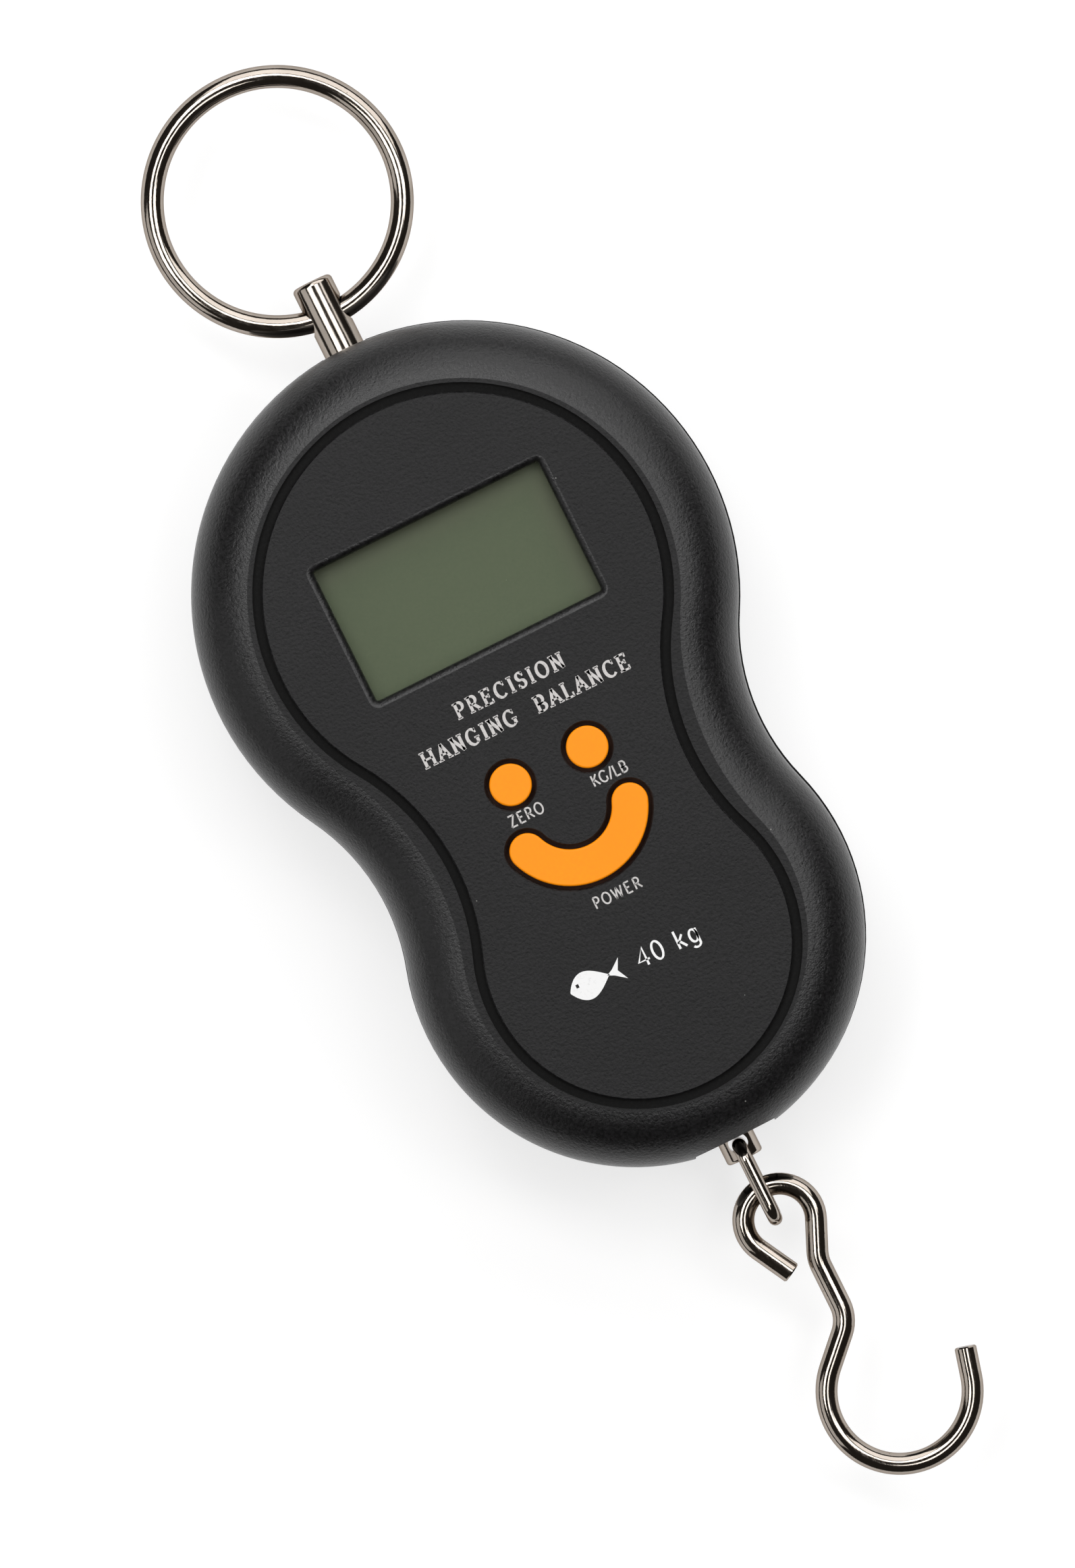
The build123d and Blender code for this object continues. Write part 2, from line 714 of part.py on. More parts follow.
# ============================================================================================
# Hook post that turns in the load cell, with its washer and nut
# ============================================================================================
with BuildPart() as hook_post:
    with BuildSketch(pin_plane(-cell_half_length - spigot_fit)):
        Circle(hook_post_radius)
    extrude(amount=hook_post_end + cell_half_length + spigot_fit)
    fillet(hook_post.edges().group_by(Axis.Y)[0], 0.35)
    with BuildSketch(pin_plane(-cell_half_length - spigot_fit)):
        Circle(spigot_radius)
    extrude(amount=tab_thickness + 2 * spigot_fit + washer_height + nut_height + spigot_thread)
    chamfer(hook_post.edges().group_by(Axis.Y)[-1], spigot_chamfer)
    with BuildSketch(Plane.XY):
        with Locations((0, hook_eye_y)):
            Circle(hook_eye_radius)
    extrude(amount=thickness, mode=Mode.SUBTRACT)
save(hook_post, "hook_post")

washer_y = -cell_half_length + tab_thickness + spigot_fit
with BuildPart() as hook_post_washer:
    with BuildSketch(pin_plane(washer_y)):
        Circle(washer_radius)
        Circle(spigot_radius + nut_fit, mode=Mode.SUBTRACT)
    extrude(amount=washer_height)
save(hook_post_washer, "hook_post_washer")

with BuildPart() as hook_post_nut:
    with BuildSketch(pin_plane(washer_y + washer_height)):
        RegularPolygon(nut_flats / 2, 6, major_radius=False)
        Circle(spigot_radius + nut_fit, mode=Mode.SUBTRACT)
    extrude(amount=nut_height)
save(hook_post_nut, "hook_post_nut")

# ============================================================================================
# Link between the post and the hook: a closed loop of wire in the YZ plane
# ============================================================================================
with BuildPart() as connecting_link:
    with BuildLine(Plane.YZ):
        route = FilletPolyline(
            (link_ends[0], pin_height + link_half_height),
            (link_ends[1], pin_height + link_half_height),
            (link_ends[1], pin_height - link_half_height),
            (link_ends[0], pin_height - link_half_height),
            close=True,
            radius=link_corner,
        )
    with BuildSketch(Plane(origin=route @ 0, z_dir=route % 0)):
        Circle(link_wire / 2)
    sweep()
save(connecting_link, "connecting_link")

# ============================================================================================
# Weighing hook: one wire, from the cut end round the eye, down the stem, round the bowl
# ============================================================================================
with BuildPart() as weighing_hook:
    with BuildLine(Plane.XY.offset(pin_height)):
        leg = PolarLine(cut_end, cut_leg[0], cut_leg[1])
        eye = JernArc(leg @ 1, leg % 1, hook_ring_radius, hook_ring_turn)
        neck_line = Line(eye @ 1, eye @ 1 + eye % 1 * neck_leg)
        neck = JernArc(neck_line @ 1, neck_line % 1, neck_radius, neck_turn)
        stem = Line(neck @ 1, neck @ 1 + neck % 1 * stem_length)
        shoulder = JernArc(stem @ 1, stem % 1, neck_radius, shoulder_turn)
        slope = Line(shoulder @ 1, shoulder @ 1 + shoulder % 1 * shoulder_leg)
        bowl = JernArc(slope @ 1, slope % 1, bowl_radius, bowl_turn)
        tip = Line(bowl @ 1, bowl @ 1 + bowl % 1 * tip_leg)
    with BuildSketch(Plane(origin=leg @ 0, z_dir=leg % 0)):
        Circle(hook_wire / 2)
    sweep()
    cut_rims = weighing_hook.faces().filter_by(GeomType.PLANE).edges()
    chamfer(cut_rims, cut_chamfer)
save(weighing_hook, "weighing_hook")

# ============================================================================================
# Batteries, and the contacts, springs and leads of their bay
# ============================================================================================
plate_face = bay_half_length - plate_thickness
for name, side in (("battery_1", -1), ("battery_2", 1)):
    # the first cell points to +Y and the second to -Y; each nub touches its plate
    nub_end = -side * plate_face
    with BuildPart() as battery:
        far_end = nub_end + side * battery_length
        shoulder_y = nub_end + side * nub_height
        cell_plane = Plane(origin=(side * battery_x, far_end, battery_height), z_dir=(0, -side, 0))
        with BuildSketch(cell_plane):
            Circle(battery_radius)
        extrude(amount=battery_length - nub_height)
        fillet(battery.edges(), battery_edge_radius)
        with BuildSketch(cell_plane.offset(battery_length - nub_height)):
            Circle(nub_radius)
        extrude(amount=nub_height)
    save(battery, name)

plate_height = 9.0
bridge_width = 20.4
single_width = 9.2
plate_corner = 1.0
plate_middle = battery_height + 0.2
tail_size = (1.6, 4.6)
tail_middle = 12.0
with BuildPart() as battery_plates:
    # one plate bridges both cells at the lower end
    with BuildSketch(Plane.XZ.offset(plate_face)):
        with Locations((0, plate_middle)):
            RectangleRounded(bridge_width, plate_height, plate_corner)
    extrude(amount=plate_thickness)
    # two plates at the upper end, each with a solder tail through the ceiling
    single_x = (bridge_width - single_width) / 2
    with BuildSketch(Plane.XZ.offset(-plate_face)):
        with Locations((-single_x, plate_middle), (single_x, plate_middle)):
            RectangleRounded(single_width, plate_height, plate_corner)
        with Locations((-tail_x, tail_middle), (tail_x, tail_middle)):
            Rectangle(*tail_size)
    extrude(amount=-plate_thickness)
save(battery_plates, "battery_plates")

spring_length = 2 * plate_face - battery_length
spring_turns = 3
spring_radius = 3.0
spring_gap = 0.04
spring_run = spring_length - spring_wire - 2 * spring_gap
with BuildPart() as battery_springs:
    for side in (-1, 1):
        start = (side * battery_x, side * (plate_face - spring_wire / 2 - spring_gap), battery_height)
        with BuildLine():
            coil = Helix(
                spring_run / spring_turns,
                spring_run,
                spring_radius,
                center=start,
                direction=(0, -side, 0),
            )
        with BuildSketch(Plane(origin=coil @ 0, z_dir=coil % 0)):
            Circle(spring_wire / 2)
        sweep(path=coil, is_frenet=True)
save(battery_springs, "battery_springs")

lead_wire = 1.0
lead_bend = 1.2
lead_y = bay_half_length - plate_thickness / 2
lead_run = 5.8
lead_level = 16.2
with BuildPart() as battery_leads:
    for wire_x in (-tail_x, tail_x):
        with BuildLine(Plane.YZ.offset(wire_x)):
            route = FilletPolyline(
                (lead_y, tail_middle + tail_size[1] / 2),
                (lead_y, lead_level),
                (lead_y - lead_run, lead_level),
                (lead_y - lead_run, board_bottom),
                radius=lead_bend,
            )
        with BuildSketch(Plane(origin=route @ 0, z_dir=route % 0)):
            Circle(lead_wire / 2)
        sweep()
save(battery_leads, "battery_leads")

# ============================================================================================
# Battery door: flush plate that turns on its tongues, with a latch finger at the other end
# ============================================================================================
door_length = door_ends[1] - door_ends[0]
door_middle = sum(door_ends) / 2
tongue_neck = 0.5  # the tongue's root reaches this far down the door's thickness
rib_length, rib_width, rib_depth = 10.0, 0.9, 0.4
rib_pitch = 2.0
ribs_from_latch = 6.5
with BuildPart() as battery_door:
    with BuildSketch(Plane.XY):
        with Locations((0, door_middle)):
            Rectangle(2 * door_half_width, door_length)
    extrude(amount=door_thickness)
    chamfer(battery_door.edges().group_by(Axis.Z)[0], 0.2)
    # tongues that reach under the back wall
    for side in (-1, 1):
        with BuildSketch(Plane.YZ.offset(side * tongue_x)):
            with BuildLine():
                Polyline(
                    (door_ends[0] + 1.2, door_thickness - tongue_neck),
                    (door_ends[0] + 0.1, door_thickness - tongue_neck),
                    (door_ends[0] + 0.1, tongue_seat + 0.05),
                    (door_ends[0] - tongue_reach, tongue_seat + 0.05),
                    (door_ends[0] - tongue_reach, tongue_top),
                    (door_ends[0] + 1.2, tongue_top),
                    close=True,
                )
            make_face()
        extrude(amount=tongue_width / 2, both=True)
    # latch finger
    with BuildSketch(Plane.XY.offset(door_thickness)):
        with Locations((0, door_ends[1] - 0.8)):
            Rectangle(latch_width, 1.0)
    extrude(amount=latch_height)
    # grip ribs near the latch end
    with BuildSketch(Plane.XY):
        with Locations((0, door_ends[1] - ribs_from_latch)):
            with GridLocations(0, rib_pitch, 1, 4):
                SlotOverall(rib_length, rib_width)
    extrude(amount=rib_depth, mode=Mode.SUBTRACT)
save(battery_door, "battery_door")

# ============================================================================================
# Case screws: four, from the back
# ============================================================================================
with BuildPart() as case_screws:
    head_plane = Plane.XY.offset(case_seat - case_head[1])
    with BuildSketch(head_plane):
        with Locations(*case_screw_places):
            Circle(case_head[0])
    extrude(amount=case_head[1])
    fillet(case_screws.edges().group_by(Axis.Z)[0], 0.6)
    with BuildSketch(head_plane):
        with Locations(*case_screw_places):
            add(cross_slot(2.4, 0.6))
    extrude(amount=0.9, mode=Mode.SUBTRACT)
    with BuildSketch(Plane.XY.offset(case_seat)):
        with Locations(*case_screw_places):
            Circle(case_shank_radius)
    extrude(amount=case_screw_end - case_seat)
    chamfer(case_screws.edges().group_by(Axis.Z)[-1], 0.4)
save(case_screws, "case_screws")
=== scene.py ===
"""Looks of the digital hanging scale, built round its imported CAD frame.

Lengths are metres in the row frame: the scale lies on its back at z = 0, +Z points out of
the display and +Y towards the carrying ring.
"""
import json
import math

import bpy
from mathutils import Matrix, Vector

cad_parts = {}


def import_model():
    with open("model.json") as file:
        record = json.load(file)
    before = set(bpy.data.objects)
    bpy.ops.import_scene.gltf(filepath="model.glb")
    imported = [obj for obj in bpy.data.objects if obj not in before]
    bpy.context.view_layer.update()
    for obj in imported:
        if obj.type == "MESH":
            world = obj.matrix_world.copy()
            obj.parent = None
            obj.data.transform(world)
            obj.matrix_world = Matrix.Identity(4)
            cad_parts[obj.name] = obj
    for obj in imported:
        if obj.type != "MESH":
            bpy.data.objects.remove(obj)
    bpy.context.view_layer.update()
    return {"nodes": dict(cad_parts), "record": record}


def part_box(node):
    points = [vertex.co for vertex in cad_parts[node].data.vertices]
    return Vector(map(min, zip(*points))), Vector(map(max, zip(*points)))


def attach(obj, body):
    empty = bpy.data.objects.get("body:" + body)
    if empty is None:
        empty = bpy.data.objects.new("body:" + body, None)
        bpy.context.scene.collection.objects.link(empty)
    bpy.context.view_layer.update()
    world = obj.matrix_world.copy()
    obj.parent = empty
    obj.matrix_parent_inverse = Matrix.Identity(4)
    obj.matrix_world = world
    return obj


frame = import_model()
MM = 0.001


# ---- node helpers --------------------------------------------------------------------------
def new_material(name):
    """A Principled material: the material, its node tree and its shader."""
    material = bpy.data.materials.new(name)
    material.use_nodes = True
    tree = material.node_tree
    return material, tree, tree.nodes["Principled BSDF"]


def link(tree, out_socket, in_socket):
    tree.links.new(out_socket, in_socket)


def reopen(material):
    """A finished material's node tree, its shader and the socket that gives its colour."""
    tree = material.node_tree
    shader = tree.nodes["Principled BSDF"]
    return tree, shader, shader.inputs["Base Color"].links[0].from_socket


def place(tree, scale=(1, 1, 1)):
    """Object coordinates, in metres, scaled. A small scale stretches a pattern that way."""
    coordinates = tree.nodes.new("ShaderNodeTexCoord")
    mapping = tree.nodes.new("ShaderNodeMapping")
    mapping.inputs["Scale"].default_value = scale
    link(tree, coordinates.outputs["Object"], mapping.inputs["Vector"])
    return mapping.outputs["Vector"]


def math_node(tree, operation, first, second=None):
    """One Math node's result; first and second are sockets or plain numbers."""
    node = tree.nodes.new("ShaderNodeMath")
    node.operation = operation
    for socket, value in zip(node.inputs, (first, second)):
        if isinstance(value, bpy.types.NodeSocket):
            link(tree, value, socket)
        elif value is not None:
            socket.default_value = value
    return node.outputs["Value"]


def axis_of(tree, vector, name):
    """One component, X, Y or Z, of a vector."""
    node = tree.nodes.new("ShaderNodeSeparateXYZ")
    link(tree, vector, node.inputs["Vector"])
    return node.outputs[name]


def around(tree, centre, stretch):
    """Coordinates that follow a ring: distance from its centre, way round it, and height.

    The way round is the angle in radians times stretch.
    """
    where = place(tree)
    x = math_node(tree, "SUBTRACT", axis_of(tree, where, "X"), centre[0])
    y = math_node(tree, "SUBTRACT", axis_of(tree, where, "Y"), centre[1])
    x_square = math_node(tree, "MULTIPLY", x, x)
    y_square = math_node(tree, "MULTIPLY", y, y)
    squares = math_node(tree, "ADD", x_square, y_square)
    turn = math_node(tree, "ARCTAN2", y, x)
    node = tree.nodes.new("ShaderNodeCombineXYZ")
    link(tree, math_node(tree, "SQRT", squares), node.inputs["X"])
    link(tree, math_node(tree, "MULTIPLY", turn, stretch), node.inputs["Y"])
    link(tree, axis_of(tree, where, "Z"), node.inputs["Z"])
    return node.outputs["Vector"]


def noise(tree, vector, size, detail=2.0, roughness=0.5):
    """Noise whose features are about size metres across."""
    node = tree.nodes.new("ShaderNodeTexNoise")
    node.inputs["Scale"].default_value = 1 / size
    node.inputs["Detail"].default_value = detail
    node.inputs["Roughness"].default_value = roughness
    link(tree, vector, node.inputs["Vector"])
    return node.outputs["Fac"]


def cells(tree, vector, size):
    """Distance to the nearest of scattered points about size metres apart, in cell units."""
    node = tree.nodes.new("ShaderNodeTexVoronoi")
    node.inputs["Scale"].default_value = 1 / size
    link(tree, vector, node.inputs["Vector"])
    return node.outputs["Distance"]


def spread(tree, value, low, high, to_low=0.0, to_high=1.0):
    """Maps value from low..high to to_low..to_high, clamped."""
    node = tree.nodes.new("ShaderNodeMapRange")
    node.inputs["From Min"].default_value = low
    node.inputs["From Max"].default_value = high
    node.inputs["To Min"].default_value = to_low
    node.inputs["To Max"].default_value = to_high
    link(tree, value, node.inputs["Value"])
    return node.outputs["Result"]


def blend_colours(tree, factor, first, second):
    """Mixes two colours, or a colour socket and a colour, by factor."""
    node = tree.nodes.new("ShaderNodeMix")
    node.data_type = "RGBA"
    colour_inputs = [socket for socket in node.inputs if socket.type == "RGBA"]
    for socket, colour in zip(colour_inputs, (first, second)):
        if isinstance(colour, bpy.types.NodeSocket):
            link(tree, colour, socket)
        else:
            socket.default_value = (*colour, 1)
    link(tree, factor, node.inputs["Factor"])
    return [socket for socket in node.outputs if socket.type == "RGBA"][0]


def bump(tree, shader, height, strength, distance):
    """Bumps up to distance high, in metres, that follow height."""
    node = tree.nodes.new("ShaderNodeBump")
    node.inputs["Strength"].default_value = strength
    node.inputs["Distance"].default_value = distance
    link(tree, height, node.inputs["Height"])
    link(tree, node.outputs["Normal"], shader.inputs["Normal"])


# ---- plastics ------------------------------------------------------------------------------
cloud_size = 12 * MM  # slow changes of tone across a moulding


def moulded_plastic(name, dark, light, grain=0.22 * MM, rough=(0.42, 0.55), gloss=0.5):
    """Moulded surface with a fine eroded grain and slow changes of tone."""
    grain_depth = 0.02 * MM
    material, tree, shader = new_material(name)
    where = place(tree)
    cloud = spread(tree, noise(tree, where, cloud_size, 3), 0.35, 0.65)
    fine = noise(tree, where, grain, 3, 0.6)
    mottle = math_node(tree, "MULTIPLY", cloud, spread(tree, fine, 0.35, 0.65))
    link(tree, blend_colours(tree, mottle, dark, light), shader.inputs["Base Color"])
    link(tree, spread(tree, fine, 0.3, 0.7, *rough), shader.inputs["Roughness"])
    bump(tree, shader, fine, 0.5, grain_depth)
    shader.inputs["Specular IOR Level"].default_value = gloss
    return material


def add_dust(material):
    """A few pale specks of dust and short hairline scratches over a plastic's own colour."""
    dust = (0.22, 0.22, 0.21)
    scratch = (0.14, 0.14, 0.14)
    speck_spacing = 4.6 * MM
    hair_spacing = 1.9 * MM
    hair_stretch = (1, 0.12, 1)  # draws each speck out along Y
    tree, shader, own_colour = reopen(material)
    specks = spread(tree, cells(tree, place(tree), speck_spacing), 0.020, 0.012)
    colour = blend_colours(tree, specks, own_colour, dust)
    hairs = spread(tree, cells(tree, place(tree, hair_stretch), hair_spacing), 0.009, 0.004)
    patches = spread(tree, noise(tree, place(tree), 9 * MM), 0.60, 0.66)
    thinned = math_node(tree, "MULTIPLY", hairs, patches)
    link(tree, blend_colours(tree, thinned, colour, scratch), shader.inputs["Base Color"])
    return material


def housing_plastic(name):
    """Black plastic: a matt grained panel, a satin border and a smooth floor in the groove."""
    darkest = (0.0020, 0.0020, 0.0021)
    palest = (0.0125, 0.0120, 0.0128)
    groove_floor = (0.010, 0.010, 0.010)
    flat = (0.9965, 0.9985)  # upward share of the normal: not yet level, level
    panel_depth = (0.08 * MM, 0.02 * MM)  # below the highest face: not yet panel, panel
    floor_depth = (0.35 * MM, 0.45 * MM)  # not yet groove floor, groove floor
    satin_roughness = (0.27, 0.36)
    panel_extra_roughness = 0.15
    floor_less_roughness = -0.22
    border_gloss = 0.37
    panel_less_gloss = 0.17
    grain_size = 0.32 * MM
    grain_depth = 0.09 * MM

    material, tree, shader = new_material(name)
    where = place(tree)
    face_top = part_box("front_shell")[1][2]
    height = axis_of(tree, where, "Z")
    coordinates = tree.nodes.new("ShaderNodeTexCoord")
    level = spread(tree, axis_of(tree, coordinates.outputs["Normal"], "Z"), *flat)
    high = spread(tree, height, face_top - panel_depth[0], face_top - panel_depth[1])
    on_panel = math_node(tree, "MULTIPLY", level, high)
    sunk = spread(tree, height, face_top - floor_depth[0], face_top - floor_depth[1])
    smooth_floor = math_node(tree, "MULTIPLY", level, sunk)

    fine = noise(tree, where, grain_size, 3, 0.65)
    cloud = spread(tree, noise(tree, where, cloud_size, 3), 0.35, 0.65)
    faint_cloud = spread(tree, cloud, 0, 1, 0.75, 1.0)
    mottle = math_node(tree, "MULTIPLY", spread(tree, fine, 0.32, 0.68), faint_cloud)
    colour = blend_colours(tree, mottle, darkest, palest)
    colour = blend_colours(tree, smooth_floor, colour, groove_floor)
    link(tree, colour, shader.inputs["Base Color"])

    satin = spread(tree, fine, 0.3, 0.7, *satin_roughness)
    matt = math_node(tree, "MULTIPLY", on_panel, panel_extra_roughness)
    rougher = math_node(tree, "ADD", satin, matt)
    polish = math_node(tree, "MULTIPLY", smooth_floor, floor_less_roughness)
    link(tree, math_node(tree, "ADD", rougher, polish), shader.inputs["Roughness"])

    grained = math_node(tree, "MULTIPLY", fine, math_node(tree, "SUBTRACT", 1.0, smooth_floor))
    bump(tree, shader, grained, 0.8, grain_depth)
    dulled = math_node(tree, "MULTIPLY", on_panel, panel_less_gloss)
    gloss = math_node(tree, "SUBTRACT", border_gloss, dulled)
    link(tree, gloss, shader.inputs["Specular IOR Level"])
    return material


def keys_plastic(name):
    """Orange keys, with painted shade down the sides that stand in the gap round them."""
    # painted shade: below their highest point the keys' sides turn near black, standing in for the shade in
    # the gap round each key
    orange = ((0.93, 0.270, 0.001), (0.98, 0.290, 0.0015))
    gap_shade_colour = (0.05, 0.012, 0.001)
    gap_shade_starts, gap_shade_full = 0.12 * MM, 0.35 * MM  # below the keys' highest point
    material = moulded_plastic(name, *orange, grain=0.4 * MM, rough=(0.42, 0.52), gloss=0.2)
    tree, shader, own_colour = reopen(material)
    key_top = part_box("tare_button")[1][2]
    height = axis_of(tree, place(tree), "Z")
    # painted shade in the gap: darker the further below the keys' top
    gap_shade = spread(tree, height, key_top - gap_shade_starts, key_top - gap_shade_full)
    link(tree, blend_colours(tree, gap_shade, own_colour, gap_shade_colour), shader.inputs["Base Color"])
    return material


def display_glass(name):
    """Blank grey-green display, paler and browner towards its upper and right edges."""
    grey_green = ((0.056, 0.072, 0.0355), (0.062, 0.078, 0.0385))
    edge_brown = (0.085, 0.082, 0.050)
    edge_share = 0.7
    dust = (0.16, 0.19, 0.12)

    material, tree, shader = new_material(name)
    where = place(tree)
    far_right, top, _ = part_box("lcd_panel")[1]
    cloud = spread(tree, noise(tree, where, 0.3 * MM, 2), 0.3, 0.7)
    colour = blend_colours(tree, cloud, *grey_green)
    upper = spread(tree, axis_of(tree, where, "Y"), top - 5.5 * MM, top - 2 * MM)
    right = spread(tree, axis_of(tree, where, "X"), far_right - 5.0 * MM, far_right - 1.5 * MM)
    edges = math_node(tree, "MULTIPLY", math_node(tree, "MAXIMUM", upper, right), edge_share)
    colour = blend_colours(tree, edges, colour, edge_brown)
    specks = spread(tree, cells(tree, where, 3.1 * MM), 0.022, 0.014)
    link(tree, blend_colours(tree, specks, colour, dust), shader.inputs["Base Color"])
    link(tree, spread(tree, cloud, 0, 1, 0.30, 0.34), shader.inputs["Roughness"])
    shader.inputs["Specular IOR Level"].default_value = 0.2
    return material


def clear_sheet(name):
    """Clear plastic with a faint green tint."""
    material, tree, shader = new_material(name)
    shader.inputs["Base Color"].default_value = (0.30, 0.36, 0.26, 1)
    shader.inputs["Alpha"].default_value = 0.06
    haze = noise(tree, place(tree), 30 * MM, 1)
    link(tree, spread(tree, haze, 0.3, 0.7, 0.04, 0.05), shader.inputs["Roughness"])
    return material


def circuit_laminate(name):
    """Green solder mask over copper lines, with tinned pads."""
    mask = (0.012, 0.13, 0.045)
    mask_over_copper = (0.025, 0.22, 0.07)
    tin = (0.62, 0.60, 0.55)
    material, tree, shader = new_material(name)
    where = place(tree)
    lines = tree.nodes.new("ShaderNodeTexBrick")
    lines.inputs["Scale"].default_value = 1 / (6 * MM)
    lines.inputs["Mortar Size"].default_value = 0.03
    link(tree, where, lines.inputs["Vector"])
    colour = blend_colours(tree, lines.outputs["Fac"], mask, mask_over_copper)
    pads = spread(tree, cells(tree, where, 2.4 * MM), 0.16, 0.13)
    link(tree, blend_colours(tree, pads, colour, tin), shader.inputs["Base Color"])
    link(tree, pads, shader.inputs["Metallic"])
    link(tree, spread(tree, noise(tree, where, 1 * MM), 0.3, 0.7, 0.25, 0.4), shader.inputs["Roughness"])
    return material


def striped_rubber(name):
    """Contact strip: fine dark layers across pale rubber."""
    carbon = (0.02, 0.02, 0.02)
    rubber = (0.42, 0.36, 0.34)
    material, tree, shader = new_material(name)
    where = place(tree)
    wave = tree.nodes.new("ShaderNodeTexWave")
    wave.inputs["Scale"].default_value = 1 / (1.3 * MM)
    link(tree, where, wave.inputs["Vector"])
    link(tree, blend_colours(tree, wave.outputs["Fac"], carbon, rubber), shader.inputs["Base Color"])
    uneven = noise(tree, where, 0.5 * MM)
    link(tree, spread(tree, uneven, 0.3, 0.7, 0.6, 0.8), shader.inputs["Roughness"])
    return material


def gauge_foil(name):
    """Amber carrier film with a dense copper grid."""
    film = (0.55, 0.26, 0.05)
    copper = (0.80, 0.42, 0.18)
    material, tree, shader = new_material(name)
    where = place(tree)
    wave = tree.nodes.new("ShaderNodeTexWave")
    wave.inputs["Scale"].default_value = 1 / (0.9 * MM)
    link(tree, where, wave.inputs["Vector"])
    grid = spread(tree, wave.outputs["Fac"], 0.45, 0.55)
    link(tree, blend_colours(tree, grid, film, copper), shader.inputs["Base Color"])
    link(tree, spread(tree, grid, 0, 1, 0.45, 0.25), shader.inputs["Roughness"])
    return material


# ---- metals --------------------------------------------------------------------------------
def nickel_plate(name, coordinates, streak=0.25 * MM):
    """Bright nickel over drawn wire; coordinates are stretched along the drawing marks."""
    nickel = ((0.34, 0.30, 0.26), (0.43, 0.38, 0.335))
    pit = (0.16, 0.13, 0.10)
    material, tree, shader = new_material(name)
    where = coordinates(tree)
    cloud = spread(tree, noise(tree, place(tree), 4 * MM, 3), 0.3, 0.7)
    colour = blend_colours(tree, cloud, *nickel)
    pits = spread(tree, cells(tree, place(tree), 1.3 * MM), 0.07, 0.03)
    link(tree, blend_colours(tree, pits, colour, pit), shader.inputs["Base Color"])
    shader.inputs["Metallic"].default_value = 1.0
    shader.inputs["Specular Tint"].default_value = (0.50, 0.46, 0.43, 1)
    marks = noise(tree, where, streak, 4, 0.6)
    link(tree, spread(tree, marks, 0.3, 0.75, 0.05, 0.15), shader.inputs["Roughness"])
    bump(tree, shader, marks, 0.22, 0.02 * MM)
    return material


def satin_metal(name, dark, light, rough=(0.28, 0.42), stretch=(1, 6, 1)):
    """Dull metal with fine streaks."""
    material, tree, shader = new_material(name)
    streaks = spread(tree, noise(tree, place(tree, stretch), 0.8 * MM, 4, 0.6), 0.3, 0.7)
    link(tree, blend_colours(tree, streaks, dark, light), shader.inputs["Base Color"])
    shader.inputs["Metallic"].default_value = 1.0
    link(tree, spread(tree, streaks, 0, 1, *rough), shader.inputs["Roughness"])
    bump(tree, shader, streaks, 0.15, 0.01 * MM)
    return material


def wrapped_cell(name, node, nub_at_top):
    """Battery sleeve: slate blue, a pale band towards the nub, and bare steel at both ends."""
    slate = ((0.022, 0.045, 0.11), (0.028, 0.055, 0.13))
    pale = (0.55, 0.56, 0.58)
    steel = (0.62, 0.60, 0.57)
    band_ends = 11.0 * MM
    nub_ends = 1.6 * MM
    rim = 0.7 * MM
    soft_edge = 0.1 * MM

    material, tree, shader = new_material(name)
    where = place(tree)
    bottom, top = (corner[1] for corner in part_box(node))
    along = axis_of(tree, where, "Y")
    distances = (top, along) if nub_at_top else (along, bottom)
    from_nub = math_node(tree, "SUBTRACT", *distances)
    band = spread(tree, from_nub, band_ends, band_ends + soft_edge, 1, 0)
    cloud = spread(tree, noise(tree, where, 2 * MM, 3), 0.3, 0.7)
    colour = blend_colours(tree, band, blend_colours(tree, cloud, *slate), pale)
    near_end = spread(tree, from_nub, nub_ends, nub_ends + soft_edge, 1, 0)
    far_edge = top - bottom - rim
    far_end = spread(tree, from_nub, far_edge, far_edge + soft_edge)
    bare = math_node(tree, "MAXIMUM", near_end, far_end)
    link(tree, blend_colours(tree, bare, colour, steel), shader.inputs["Base Color"])
    link(tree, bare, shader.inputs["Metallic"])
    link(tree, spread(tree, cloud, 0, 1, 0.22, 0.34), shader.inputs["Roughness"])
    return material


# ---- a material for each slot --------------------------------------------------------------
ring_low, ring_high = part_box("carry_ring")
ring_centre = [(low + high) / 2 for low, high in zip(ring_low, ring_high)]

BLACK = add_dust(housing_plastic("black_moulded_plastic"))
INNER = moulded_plastic("inner_plastic", (0.03, 0.03, 0.03), (0.05, 0.05, 0.05))
by_slot = {
    "shell": BLACK,
    "door": BLACK,
    "window": clear_sheet("clear_window"),
    "lcd": display_glass("display_glass"),
    "bezel": INNER,
    "strip": striped_rubber("striped_rubber"),
    "board": circuit_laminate("circuit_laminate"),
    "chip": moulded_plastic("chip_epoxy", (0.015, 0.015, 0.016), (0.03, 0.03, 0.03), 0.1 * MM),
    "switch": INNER,
    "plunger": moulded_plastic("cream_plunger", (0.60, 0.56, 0.46), (0.68, 0.64, 0.54)),
    "button": keys_plastic("orange_keys"),
    "nickel": nickel_plate("nickel_plate", lambda tree: place(tree, (1, 0.3, 1))),
    "screw": satin_metal("zinc_screw", (0.36, 0.36, 0.37), (0.58, 0.58, 0.58)),
    "cell_steel": satin_metal("steel_strip", (0.42, 0.42, 0.43), (0.60, 0.60, 0.60), stretch=(1, 0.05, 1)),
    "gauge": gauge_foil("gauge_foil"),
    "wire": moulded_plastic("red_insulation", (0.42, 0.01, 0.01), (0.55, 0.02, 0.02), 0.5 * MM, (0.3, 0.4)),
    "contact": satin_metal("contact_steel", (0.60, 0.59, 0.56), (0.74, 0.73, 0.70), (0.18, 0.3)),
}
